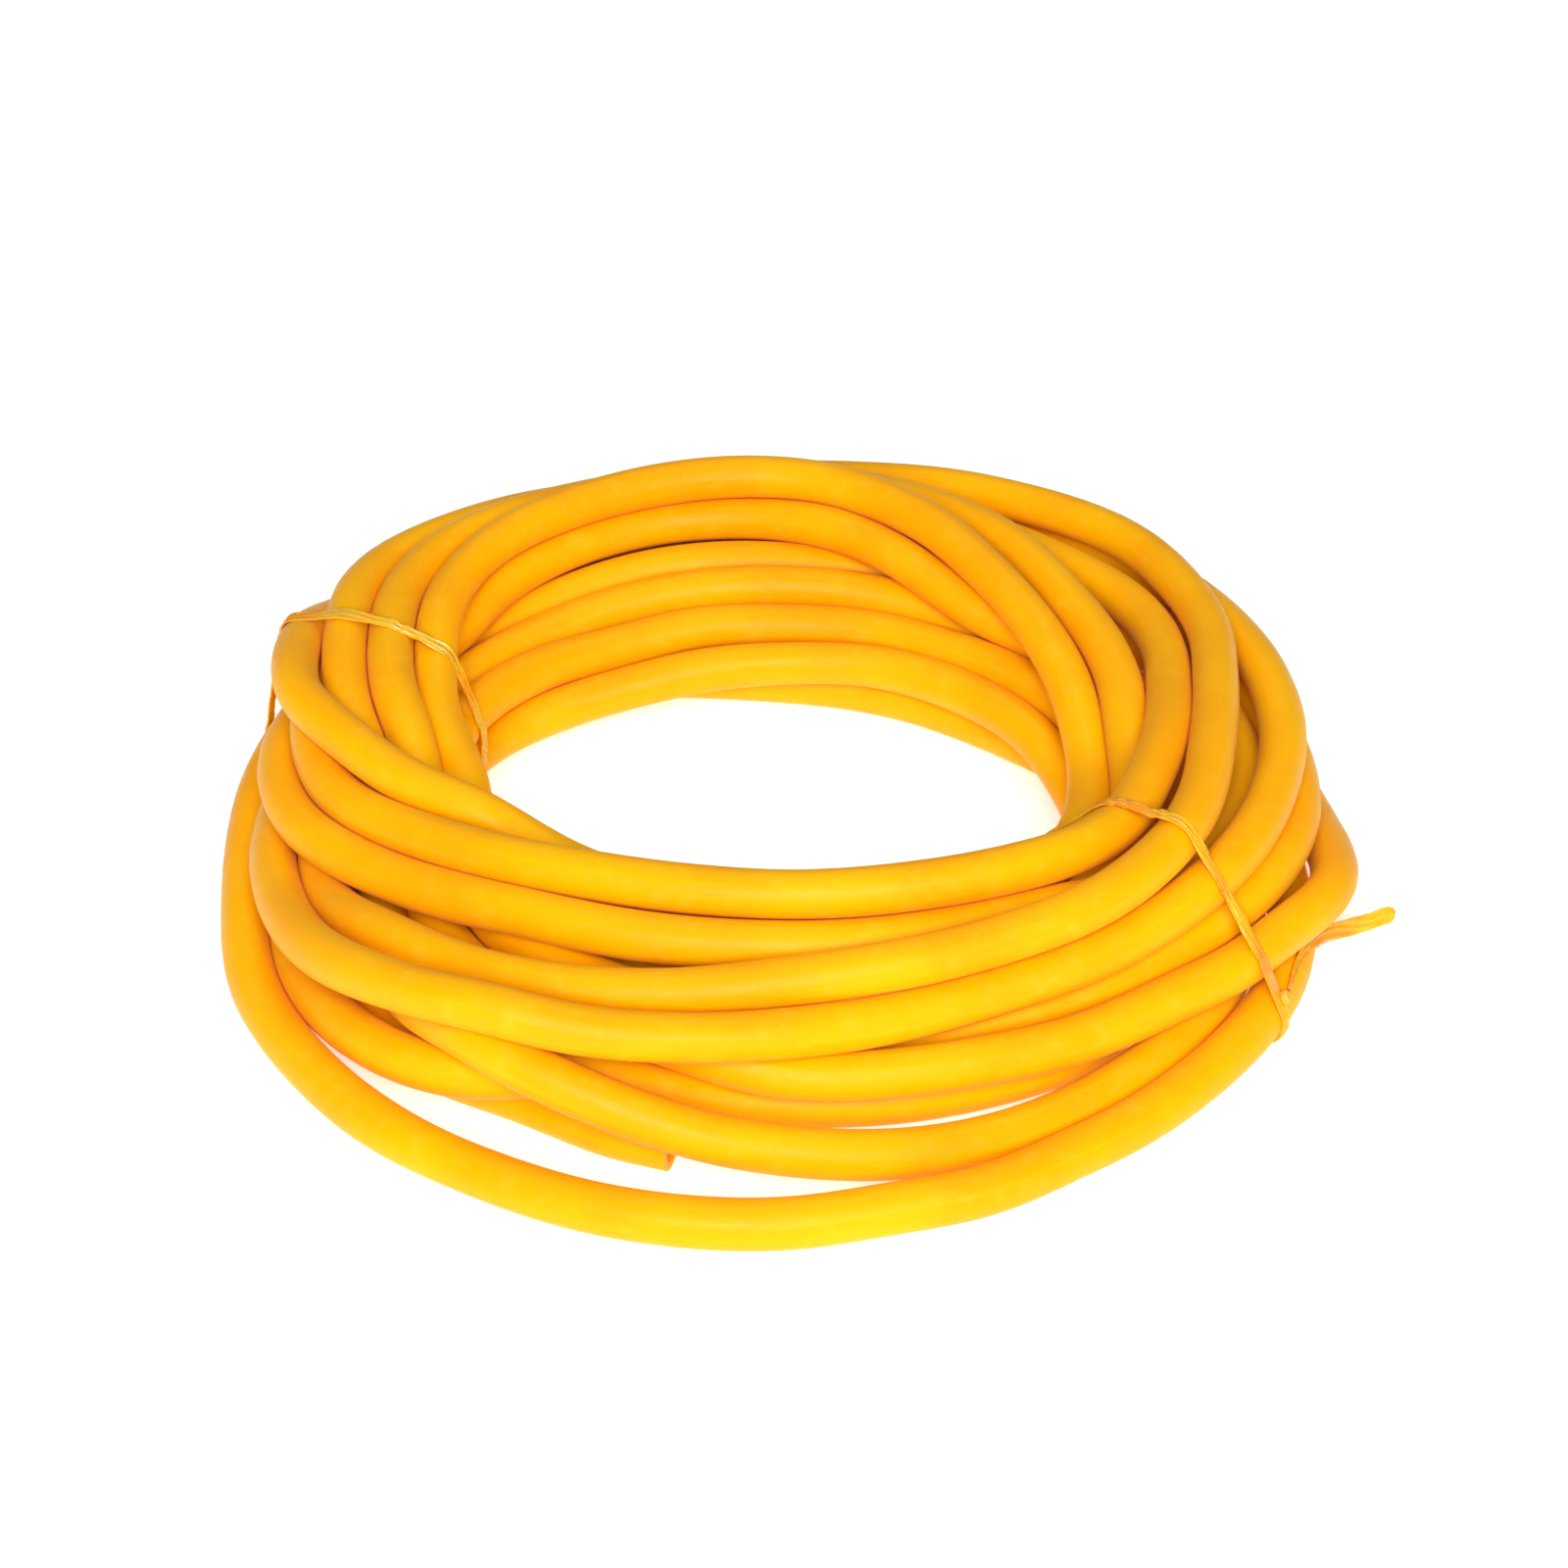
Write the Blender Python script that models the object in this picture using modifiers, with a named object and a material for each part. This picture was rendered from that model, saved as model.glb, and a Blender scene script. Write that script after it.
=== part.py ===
"""A coil of latex tubing, wound by hand and held by two flat ribbon ties.

The coil is one length of tube. Its bound turns are one turned ring with the bundle's outer shape, and the
stretches that lie loose round the ring are tubes of their own. Places are given as on a clock face seen from
above: 12 o'clock is at the back (+Y), 3 is at the right (+X) and 6 is at the front (-Y).
"""

from math import cos, pi, radians, sin

import bmesh
import bpy
from mathutils import Vector

# Driving dimensions, in metres.
TUBE_DIAMETER = 0.012
BORE_DIAMETER = 0.008
BORE_DEPTH = 3 * TUBE_DIAMETER
GAP = 0.0003  # between meshes that touch

COIL_OUTER_RADIUS = 11.2 * TUBE_DIAMETER
COIL_FRONT_DEPTH = 9.4 * TUBE_DIAMETER  # the bundle is thinner at the front, where turns hang loose
COIL_STEPS = 96

RIBBON_WIDTH = 0.0043
RIBBON_THICKNESS = 0.0004
RIBBON_GROOVE_DEPTH = 0.0024
RIBBON_FLOOR_CLEARANCE = 0.0005
KNOT_SIZE = (0.007, 0.0045, 0.0036)
KNOT_STAND_OFF = 0.0024  # of its middle from the bundle's surface
LEFT_TIE_HOUR = 9.4
RIGHT_TIE_HOUR = 4.05

TUBE_POINTS_PER_STOP = 4
TUBE_BEVEL_RESOLUTION = 3

# The bundle's outline in tube diameters: (distance from the coil's axis, height), from its top down the outer
# side, in along the floor and up the inner side.
BUNDLE_OUTLINE = (
    (9.5, 4.0), (10.3, 3.75), (10.85, 3.2), (11.15, 2.4), (11.2, 1.5), (11.15, 0.7), (10.95, 0.2), (10.55, 0.0),
    (6.8, 0.0), (6.45, 0.2), (6.3, 0.7), (6.3, 1.7), (6.4, 2.6), (6.75, 3.3), (7.3, 3.8), (8.0, 4.0),
)

# The routes of the loose stretches: (hour, distance from the coil's axis, height), the last two in tube
# diameters. The front turn bows out and lies on the floor from the left to the right tie.
FRONT_TURN = (
    (8.8, 11.78, 0.51), (8.5, 11.8, 0.51), (8.1, 12.05, 0.51), (7.7, 12.4, 0.51), (7.2, 12.6, 0.51),
    (6.7, 12.65, 0.51), (6.2, 12.6, 0.51), (5.7, 12.35, 0.51), (5.2, 12.05, 0.51), (4.75, 11.82, 0.51),
    (4.25, 11.78, 0.51),
)
# The right turn bulges out past the right tie and slips under the bundle again.
RIGHT_TURN = ((3.92, 11.78, 1.15), (3.6, 11.8, 1.1), (3.35, 11.85, 1.05), (3.05, 11.8, 0.95), (2.75, 11.78, 0.85))
# The crossing turn comes off the bundle's side, passes over the cut end and comes down to the floor.
CROSSING_TURN = (
    (6.95, 11.45, 1.75), (6.65, 11.15, 1.6), (6.35, 11.1, 1.3), (6.0, 11.0, 0.75), (5.65, 11.0, 0.51),
    (5.25, 10.9, 0.51),
)
# The cut end lies on the floor beside the bundle and opens towards the right.
CUT_END = ((6.95, 11.3, 0.51), (6.75, 10.95, 0.51), (6.42, 10.5, 0.51))

# The corner of BUNDLE_OUTLINE that each tie's knot sits on.
LEFT_KNOT_CORNER = 2
RIGHT_KNOT_CORNER = 5
# The right tie's tail slips under the right turn and points out to the right.
RIBBON_TAIL = ((4.05, 11.38, 0.6), (3.92, 11.75, 0.4), (3.78, 12.3, 0.35), (3.68, 12.9, 0.5), (3.6, 13.4, 0.75))

LATEX = ("latex", (0.93, 0.50, 0.02, 1.0), 0.42)
RIBBON = ("ribbon", (0.95, 0.48, 0.03, 1.0), 0.25)


def clear_scene():
    for obj in list(bpy.data.objects):
        bpy.data.objects.remove(obj, do_unlink=True)


def new_collection(name):
    collection = bpy.data.collections.new(name)
    bpy.context.scene.collection.children.link(collection)
    return collection


def new_material(name, colour, roughness):
    material = bpy.data.materials.new(name)
    material.use_nodes = True
    shader = material.node_tree.nodes["Principled BSDF"]
    shader.inputs["Base Color"].default_value = colour
    shader.inputs["Roughness"].default_value = roughness
    shader.inputs["Metallic"].default_value = 0.0
    material.diffuse_color = colour
    return material


def place(obj, collection, parent, material=None):
    """Puts an object in its collection, under the coil's centre, with its material."""
    collection.objects.link(obj)
    obj.parent = parent
    if material:
        obj.data.materials.append(material)
    return obj


def hide_cutter(obj):
    obj.hide_render = True
    obj.display_type = "WIRE"


def on_clock(hour, radius, height):
    """The point at this hour of the clock face, in metres from the coil's centre on the floor."""
    angle = radians(90 - 30 * hour)
    return Vector((radius * cos(angle), radius * sin(angle), height))


def smooth_route(stops, points_per_stop):
    """Points of a smooth curve through the stops (Catmull-Rom), in metres."""
    first = tuple(2 * a - b for a, b in zip(stops[0], stops[1]))
    last = tuple(2 * a - b for a, b in zip(stops[-1], stops[-2]))
    stops = (first, *stops, last)
    route = []
    for before, start, end, after in zip(stops, stops[1:], stops[2:], stops[3:]):
        for step in range(points_per_stop):
            t = step / points_per_stop
            route.append([
                0.5 * (2 * b + (c - a) * t + (2 * a - 5 * b + 4 * c - d) * t**2 + (3 * b - a - 3 * c + d) * t**3)
                for a, b, c, d in zip(before, start, end, after)
            ])
    route.append(stops[-2])
    return [on_clock(hour, r * TUBE_DIAMETER, z * TUBE_DIAMETER) for hour, r, z in route]


def curve_along(name, points, diameter):
    """A round bar along the points, with closed ends."""
    curve = bpy.data.curves.new(name, "CURVE")
    curve.dimensions = "3D"
    curve.bevel_depth = diameter / 2
    curve.bevel_resolution = TUBE_BEVEL_RESOLUTION
    curve.use_fill_caps = True
    spline = curve.splines.new("POLY")
    spline.points.add(len(points) - 1)
    for target, point in zip(spline.points, points):
        target.co = (*point, 1.0)
    return bpy.data.objects.new(name, curve)


def as_mesh(curve_object, name):
    """The curve's solid as a mesh object with welded caps, in the curve's place."""
    bpy.context.view_layer.update()
    graph = bpy.context.evaluated_depsgraph_get()
    mesh = bpy.data.meshes.new_from_object(curve_object.evaluated_get(graph))
    solid = bmesh.new()
    solid.from_mesh(mesh)
    bmesh.ops.remove_doubles(solid, verts=solid.verts, dist=1e-6)
    solid.to_mesh(mesh)
    solid.free()
    made = bpy.data.objects.new(name, mesh)
    made.matrix_world = curve_object.matrix_world
    bpy.data.objects.remove(curve_object, do_unlink=True)
    return made


def add_boolean(obj, other, operation):
    modifier = obj.modifiers.new(other.name, "BOOLEAN")
    modifier.operation = operation
    modifier.solver = "EXACT"
    modifier.object = other


def box(name, size, centre):
    mesh = bpy.data.meshes.new(name)
    shape = bmesh.new()
    bmesh.ops.create_cube(shape, size=1.0)
    bmesh.ops.scale(shape, vec=size, verts=shape.verts)
    shape.to_mesh(mesh)
    shape.free()
    made = bpy.data.objects.new(name, mesh)
    made.location = centre
    return made


def bundle_ring():
    """The bound turns as one turned ring: the bundle's outline swept once round."""
    mesh = bpy.data.meshes.new("tube_coil")
    outline = bmesh.new()
    corners = [outline.verts.new((r * TUBE_DIAMETER, 0.0, z * TUBE_DIAMETER)) for r, z in BUNDLE_OUTLINE]
    for corner, following in zip(corners, corners[1:] + corners[:1]):
        outline.edges.new((corner, following))
    outline.to_mesh(mesh)
    outline.free()
    ring = bpy.data.objects.new("tube_coil", mesh)
    screw = ring.modifiers.new("turn", "SCREW")
    screw.axis = "Z"
    screw.angle = 2 * pi
    screw.steps = COIL_STEPS
    screw.render_steps = COIL_STEPS
    screw.use_merge_vertices = True
    screw.merge_threshold = 0.0001
    return ring


def front_cutter():
    """A box that takes the front of the ring off flat, where the cut end and the crossing turn lie."""
    depth = COIL_OUTER_RADIUS
    size = (4 * COIL_OUTER_RADIUS, depth, COIL_OUTER_RADIUS)
    return box("front_cutter", size, (0.0, -COIL_FRONT_DEPTH - depth / 2, 0.0))


def groove_cutter(name, hour):
    """A box that cuts a tie's groove across the ring's underside."""
    centre = on_clock(hour, COIL_OUTER_RADIUS, 0.0)
    size = (2 * COIL_OUTER_RADIUS, RIBBON_WIDTH + 2 * GAP, 2 * RIBBON_GROOVE_DEPTH)
    cutter = box(name, size, centre)
    cutter.rotation_euler.z = radians(90 - 30 * hour)
    return cutter


def strip(name, centres, width_axis, closed):
    """A ribbon: a flat four-cornered section at each centre, joined to the next."""
    shape = bmesh.new()
    sections = []
    last = len(centres) - 1
    for index, centre in enumerate(centres):
        before = centres[index - 1] if closed or index > 0 else centre
        after = centres[(index + 1) % len(centres)] if closed or index < last else centre
        normal = (after - before).cross(width_axis).normalized()
        across = width_axis * RIBBON_WIDTH / 2
        through = normal * RIBBON_THICKNESS / 2
        corners = (across + through, across - through, -across - through, -across + through)
        sections.append([shape.verts.new(centre + corner) for corner in corners])
    pairs = list(zip(sections, sections[1:]))
    if closed:
        pairs.append((sections[-1], sections[0]))
    else:
        shape.faces.new(sections[0])
        shape.faces.new(reversed(sections[-1]))
    for section, following in pairs:
        for side in range(4):
            other = (side + 1) % 4
            shape.faces.new((section[side], following[side], following[other], section[other]))
    bmesh.ops.recalc_face_normals(shape, faces=shape.faces)
    mesh = bpy.data.meshes.new(name)
    shape.to_mesh(mesh)
    shape.free()
    return bpy.data.objects.new(name, mesh)


def off_outline(corner, distance):
    """The outline's corner moved straight out from the bundle: (distance from the coil's axis, height)."""
    before = Vector(BUNDLE_OUTLINE[corner - 1])
    after = Vector(BUNDLE_OUTLINE[(corner + 1) % len(BUNDLE_OUTLINE)])
    along = after - before
    outward = Vector((-along.y, along.x)).normalized()
    return Vector(BUNDLE_OUTLINE[corner]) * TUBE_DIAMETER + outward * distance


def band_path(hour):
    """The ribbon's way round the bundle at this hour, a gap off its surface and up in its groove below."""
    path = []
    for corner in range(len(BUNDLE_OUTLINE)):
        radius, height = off_outline(corner, GAP + RIBBON_THICKNESS / 2)
        path.append(on_clock(hour, radius, max(height, RIBBON_FLOOR_CLEARANCE)))
    return path


def knot(name, centre):
    mesh = bpy.data.meshes.new(name)
    shape = bmesh.new()
    bmesh.ops.create_uvsphere(shape, u_segments=16, v_segments=8, radius=0.5)
    bmesh.ops.scale(shape, vec=KNOT_SIZE, verts=shape.verts)
    shape.to_mesh(mesh)
    shape.free()
    made = bpy.data.objects.new(name, mesh)
    made.location = centre
    return made


def tie(name, hour, knot_corner, tail=None):
    """A ribbon tie: the band round the bundle and its knot, and a tail if it has one, as one solid."""
    side = on_clock(hour + 3, 1.0, 0.0)
    band = strip(name, band_path(hour), side, closed=True)
    lump = knot(name + "_knot", on_clock(hour, *off_outline(knot_corner, KNOT_STAND_OFF)))
    lump.rotation_euler.z = radians(-30 * hour)
    add_boolean(band, lump, "UNION")
    if tail is None:
        return band, [lump]
    end = strip(name + "_tail", smooth_route(tail, TUBE_POINTS_PER_STOP), Vector((0.0, 0.0, 1.0)), closed=False)
    add_boolean(band, end, "UNION")
    return band, [lump, end]


def hollow_end(name):
    """The stretch that ends in a clean cut, with the bore open at the cut."""
    route = smooth_route(CUT_END, TUBE_POINTS_PER_STOP)
    solid = as_mesh(curve_along(name + "_curve", route, TUBE_DIAMETER), name)
    heading = (route[-1] - route[-2]).normalized()
    length = 0.0
    inside = [route[-1] + heading * TUBE_DIAMETER, route[-1]]
    for point in reversed(route[:-1]):
        length += (point - inside[-1]).length
        if length > BORE_DEPTH:
            break
        inside.append(point)
    bore = as_mesh(curve_along(name + "_bore_curve", inside, BORE_DIAMETER), name + "_bore")
    add_boolean(solid, bore, "DIFFERENCE")
    return solid, bore


def stand_on_origin(parent, nodes):
    """Moves everything so that the object's box stands centred on the world origin."""
    bpy.context.view_layer.update()
    graph = bpy.context.evaluated_depsgraph_get()
    points = []
    for node in nodes:
        evaluated = node.evaluated_get(graph)
        points += [evaluated.matrix_world @ vertex.co for vertex in evaluated.to_mesh().vertices]
        evaluated.to_mesh_clear()
    lows = [min(point[axis] for point in points) for axis in range(3)]
    highs = [max(point[axis] for point in points) for axis in range(3)]
    parent.location = (-(lows[0] + highs[0]) / 2, -(lows[1] + highs[1]) / 2, -lows[2])
    bpy.context.view_layer.update()


def main():
    clear_scene()
    parts = new_collection("tubing_coil")
    cutters = new_collection("cutters")
    centre = bpy.data.objects.new("coil_centre", None)
    parts.objects.link(centre)
    latex = new_material(*LATEX)
    ribbon = new_material(*RIBBON)

    ring = bundle_ring()
    helpers = [
        front_cutter(),
        groove_cutter("left_groove_cutter", LEFT_TIE_HOUR),
        groove_cutter("right_groove_cutter", RIGHT_TIE_HOUR),
    ]
    for cutter in helpers:
        add_boolean(ring, cutter, "DIFFERENCE")

    loose = [
        curve_along(name, smooth_route(stops, TUBE_POINTS_PER_STOP), TUBE_DIAMETER)
        for name, stops in (
            ("tube_front_turn", FRONT_TURN),
            ("tube_right_turn", RIGHT_TURN),
            ("tube_crossing_turn", CROSSING_TURN),
        )
    ]
    cut_end, bore = hollow_end("tube_cut_end")
    helpers.append(bore)

    left_tie, left_helpers = tie("left_tie", LEFT_TIE_HOUR, LEFT_KNOT_CORNER)
    right_tie, right_helpers = tie("right_tie", RIGHT_TIE_HOUR, RIGHT_KNOT_CORNER, RIBBON_TAIL)
    helpers += left_helpers + right_helpers

    nodes = [place(obj, parts, centre, latex) for obj in (ring, *loose, cut_end)]
    nodes += [place(obj, parts, centre, ribbon) for obj in (left_tie, right_tie)]
    for helper in helpers:
        hide_cutter(place(helper, cutters, centre))
    stand_on_origin(centre, nodes)


main()
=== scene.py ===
"""The looks of a hand-wound coil of latex tubing with two ribbon ties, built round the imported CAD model.

The tube is one length of about 10 m. Its route is laid turn by turn from the cut end, and is then settled,
so that its turns lie beside and on each other about a diameter apart and don't pass through one another. Each
tie is a tight loop round the turns that it binds. Places are given as on a clock face seen from above: 12
o'clock is at the back (+Y), 3 is at the right and 6 is at the front. Lengths are in tube diameters unless a
comment says metres.
"""

import bpy
import numpy as np
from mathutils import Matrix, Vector


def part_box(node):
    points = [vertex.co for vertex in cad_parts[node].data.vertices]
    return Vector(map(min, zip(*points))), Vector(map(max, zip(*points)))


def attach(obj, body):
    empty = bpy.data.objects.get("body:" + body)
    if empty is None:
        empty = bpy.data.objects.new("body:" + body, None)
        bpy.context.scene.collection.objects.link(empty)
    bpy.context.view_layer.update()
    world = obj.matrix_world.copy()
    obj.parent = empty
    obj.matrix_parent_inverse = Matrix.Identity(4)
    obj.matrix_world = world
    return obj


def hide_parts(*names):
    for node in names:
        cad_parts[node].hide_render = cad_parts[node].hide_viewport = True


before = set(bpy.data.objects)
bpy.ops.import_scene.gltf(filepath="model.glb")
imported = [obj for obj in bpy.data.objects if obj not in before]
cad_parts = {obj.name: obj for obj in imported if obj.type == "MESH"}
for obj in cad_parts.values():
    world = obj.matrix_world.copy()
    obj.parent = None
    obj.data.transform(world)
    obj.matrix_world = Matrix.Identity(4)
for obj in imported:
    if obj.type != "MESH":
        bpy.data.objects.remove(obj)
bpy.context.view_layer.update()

# Driving dimensions, in metres.
TUBE = 0.012  # outside diameter
BORE = 0.008
BORE_DEPTH = 3 * TUBE
COIL_BACK_RADIUS = 11.2 * TUBE  # of the CAD ring, from its axis to its back edge

# The winding, one row for each turn from 6 o'clock round to 6 o'clock: (hour, distance from the coil's axis,
# height). Hours run on past 12, so 15 is 3 o'clock. It starts at the cut end on the floor at the front.
TURNS = (
    (  # along the floor from the cut end, under the other turns, lowest in the hole's back wall
        (6.3, 10.15, 0.5), (6.65, 10.0, 0.5), (7.0, 10.25, 0.5), (7.3, 10.65, 0.5), (7.6, 10.6, 0.5),
        (8.0, 9.8, 0.5), (8.25, 9.35, 0.5), (8.6, 9.2, 0.5), (9.2, 8.9, 0.5), (10.2, 7.8, 0.5),
        (11.3, 5.9, 0.5), (12.0, 5.3, 0.5), (13.3, 5.4, 0.5), (14.2, 6.1, 0.5), (15.0, 7.8, 0.5),
        (15.5, 8.5, 0.5), (16.0, 9.1, 0.5), (16.7, 9.7, 0.5), (17.4, 9.4, 0.5),
    ),
    (  # over the cut end at the front left, low on the left, rising by the back to the top of the right
        (6.0, 9.1, 0.5), (6.25, 9.2, 0.8), (6.5, 9.5, 1.3), (6.75, 10.0, 1.6), (7.0, 10.6, 1.6),
        (7.3, 11.1, 1.3), (7.6, 11.3, 1.0), (8.0, 11.45, 0.65), (8.3, 11.2, 0.6), (8.8, 10.3, 0.6),
        (9.5, 9.5, 0.7), (10.5, 8.9, 1.0), (12.0, 8.5, 1.4), (13.0, 8.8, 1.5), (14.0, 9.8, 1.6),
        (15.0, 9.9, 1.8), (15.5, 9.4, 1.9), (16.0, 8.8, 2.2), (16.8, 7.8, 2.7),
    ),
    (  # second from the hole at the front, out on the left, low at the back, outer side of the right
        (6.0, 7.5, 3.0), (7.0, 8.0, 3.0), (7.5, 8.4, 2.7), (8.0, 9.2, 2.3), (8.4, 10.1, 2.1),
        (8.9, 10.6, 1.9), (9.5, 10.7, 1.6), (10.5, 10.0, 1.2), (12.0, 9.7, 0.6), (13.2, 10.5, 1.3),
        (14.2, 10.9, 1.5), (15.0, 11.0, 1.9), (15.4, 11.0, 2.0), (15.8, 10.7, 2.0), (16.3, 10.0, 1.8),
        (16.9, 9.1, 1.5), (17.4, 8.7, 1.4),
    ),
    (  # inside the bundle at the front, up on the left, top of the back, the hole's right side
        (6.0, 8.6, 1.6), (7.0, 8.3, 1.7), (7.7, 7.9, 1.6), (8.1, 7.4, 1.7), (8.3, 7.2, 2.0),
        (8.7, 7.25, 2.3), (9.1, 7.7, 2.45), (9.5, 8.2, 2.55), (9.9, 8.9, 2.65), (10.2, 9.4, 2.7),
        (10.5, 9.7, 2.9), (10.9, 9.9, 3.0), (11.4, 9.7, 3.2), (12.0, 9.2, 3.3), (12.5, 8.3, 3.4),
        (12.9, 7.6, 3.4), (13.3, 7.0, 3.2), (13.8, 6.7, 3.0), (14.2, 6.7, 2.7), (14.6, 6.7, 2.4),
        (15.1, 6.9, 1.9), (15.6, 7.1, 2.1), (16.1, 7.2, 2.4), (16.6, 7.0, 2.65), (17.3, 6.4, 2.9),
    ),
    (  # from the hole out over the others to the left tie, outside at the back, top of the right
        (6.0, 6.3, 2.8), (7.0, 6.2, 2.7), (7.5, 6.3, 2.5), (7.9, 6.6, 2.5), (8.1, 7.2, 2.8),
        (8.4, 8.4, 3.2), (8.7, 9.2, 3.4), (9.0, 10.2, 3.5), (9.3, 10.6, 3.4), (9.6, 10.9, 3.0),
        (9.9, 11.1, 2.3), (10.4, 11.1, 1.8), (11.3, 11.1, 1.9), (12.2, 11.2, 2.3), (12.9, 11.0, 2.8),
        (13.5, 11.0, 3.0), (14.0, 10.4, 3.2), (14.4, 9.9, 3.3), (14.7, 9.4, 3.4), (15.2, 9.0, 3.5),
        (15.8, 9.1, 3.5), (16.1, 9.1, 3.5), (16.6, 8.9, 3.3), (17.1, 8.4, 3.0),
    ),
    (  # third from the hole at the front, low on the left, then down to the floor on the right
        (6.0, 8.6, 2.9), (6.4, 9.0, 2.8), (6.8, 9.5, 2.7), (7.2, 9.9, 2.5), (7.7, 10.1, 2.0),
        (8.2, 10.2, 1.5), (8.8, 9.9, 1.4), (9.5, 9.5, 1.6), (10.5, 8.9, 2.0), (11.3, 8.4, 2.3),
        (12.0, 8.0, 2.4), (12.7, 8.1, 2.1), (13.5, 8.6, 1.3), (14.3, 9.2, 0.7), (15.0, 9.8, 0.5),
        (16.0, 10.8, 0.5), (16.8, 11.3, 0.5), (17.4, 11.2, 0.5),
    ),
    (  # crosses over the cut end, dives in, comes up on the left and ends nearest the hole
        (6.0, 11.0, 0.8), (6.3, 11.1, 1.2), (6.6, 11.2, 1.7), (7.0, 11.2, 2.1), (7.3, 10.9, 1.8),
        (7.6, 10.5, 1.4), (7.9, 10.0, 1.1), (8.2, 9.3, 1.3), (8.5, 8.7, 2.1), (8.8, 8.8, 3.0),
        (9.0, 9.2, 3.2), (9.5, 9.9, 3.4), (9.9, 10.6, 3.3), (10.3, 11.0, 3.0), (10.9, 10.9, 2.7),
        (11.6, 10.6, 2.2), (12.3, 10.3, 2.0), (13.2, 9.9, 2.2), (13.9, 9.5, 2.6), (14.3, 9.0, 2.8),
        (14.7, 8.4, 3.0), (15.1, 8.1, 3.2), (15.6, 7.9, 3.3), (16.1, 8.0, 3.4), (16.7, 7.7, 3.6),
        (17.3, 7.2, 3.7),
    ),
    (  # nearest the hole at the front, second on the left, outside at the back and on the right
        (6.0, 6.9, 3.7), (6.5, 6.9, 3.7), (7.1, 7.2, 3.6), (7.6, 7.8, 3.4), (7.9, 8.2, 3.2),
        (8.2, 8.8, 3.0), (8.5, 9.5, 2.8), (8.9, 10.1, 2.7), (9.3, 10.4, 2.5), (9.8, 10.6, 2.1),
        (10.5, 10.3, 2.0), (11.2, 10.8, 1.6), (12.0, 11.1, 1.4), (13.5, 11.4, 2.0), (14.5, 10.9, 2.7),
        (15.0, 10.7, 2.8), (15.3, 10.5, 2.8), (15.8, 10.2, 2.8), (16.2, 9.85, 2.65), (16.7, 9.3, 2.35),
        (17.1, 8.9, 2.2), (17.6, 9.0, 2.2),
    ),
    (  # fourth from the hole at the front, bulging over the crossing turn, then the floor outside
        (6.0, 9.5, 2.3), (6.4, 10.1, 2.5), (6.7, 10.7, 2.7), (7.0, 11.2, 2.9), (7.4, 11.4, 2.7),
        (7.8, 11.4, 2.2), (8.2, 11.1, 1.7), (8.5, 10.9, 1.5), (8.9, 10.6, 1.1), (9.5, 10.5, 0.8),
        (10.5, 10.8, 0.6), (12.0, 10.5, 0.5), (13.5, 10.2, 0.5), (14.5, 10.0, 0.5), (15.2, 10.6, 0.5),
        (15.9, 11.4, 0.5), (16.6, 11.5, 0.5), (17.1, 11.8, 0.5), (17.4, 12.2, 0.5), (17.7, 12.3, 0.5),
    ),
    (  # bows out along the floor at the front, runs outside all round, bulges past the right tie
        (6.0, 12.6, 0.5), (6.5, 12.7, 0.5), (6.9, 12.6, 0.5), (7.3, 12.5, 0.5), (7.8, 12.1, 0.5),
        (8.2, 11.7, 0.5), (8.5, 11.4, 0.5), (9.0, 11.2, 0.5), (9.5, 11.4, 0.5), (10.5, 11.7, 0.5),
        (12.0, 11.5, 0.5), (13.5, 11.3, 0.5), (14.5, 11.0, 0.5), (15.0, 11.1, 0.6), (15.3, 11.5, 1.0),
        (15.6, 11.8, 1.4), (15.9, 11.2, 1.4), (16.2, 10.8, 1.4), (16.4, 10.4, 1.4), (16.9, 10.1, 1.4),
        (17.3, 9.8, 1.4),
    ),
    (  # low at the front, in under the bundle, then up between the others on the left and the back
        (6.0, 9.7, 1.4), (6.6, 9.5, 1.4), (7.2, 9.1, 1.3), (7.7, 8.8, 1.4), (8.0, 8.5, 1.8),
        (8.3, 8.0, 2.2), (8.6, 7.8, 2.6), (8.9, 8.1, 3.0), (9.2, 8.6, 3.1), (9.6, 9.2, 3.2),
        (10.0, 9.9, 3.2), (10.5, 10.3, 3.1), (11.3, 10.4, 2.7), (12.1, 10.2, 2.7), (12.6, 9.7, 2.9),
        (13.2, 8.7, 3.2), (13.8, 7.9, 3.1), (14.5, 7.6, 2.9), (15.0, 7.4, 2.7), (15.5, 7.5, 2.5),
        (16.1, 7.9, 2.4), (16.6, 7.9, 2.3), (17.3, 7.6, 2.1),
    ),
    (  # inside the bundle at the front, fourth from the floor in the hole's back wall
        (6.0, 7.3, 2.1), (7.0, 7.7, 1.5), (8.0, 8.2, 0.8), (8.6, 8.4, 1.2), (9.2, 8.7, 1.4),
        (9.8, 8.3, 1.5), (10.4, 7.9, 1.6), (10.9, 7.6, 1.8), (11.4, 7.2, 2.0), (12.0, 7.0, 2.1),
        (12.6, 7.1, 2.1), (13.2, 7.0, 2.0), (13.6, 7.3, 1.6), (14.2, 8.0, 1.2), (15.0, 8.4, 1.3),
        (16.0, 8.1, 1.3), (17.0, 7.8, 1.1),
    ),
    (  # near the floor at the front, second from the floor in the hole's back wall
        (6.0, 7.5, 1.0), (7.0, 7.3, 0.6), (8.0, 7.2, 0.5), (9.0, 7.8, 0.5), (9.7, 7.55, 0.5),
        (10.3, 6.6, 0.7), (10.8, 5.8, 0.9), (11.3, 5.3, 1.1), (12.0, 5.0, 1.2), (12.8, 5.3, 1.2),
        (13.7, 5.8, 1.2), (14.2, 6.2, 1.1), (14.6, 6.5, 0.9), (15.1, 6.9, 0.5), (15.6, 7.4, 0.5),
        (16.2, 7.6, 0.5), (17.0, 7.0, 0.7),
    ),
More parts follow.
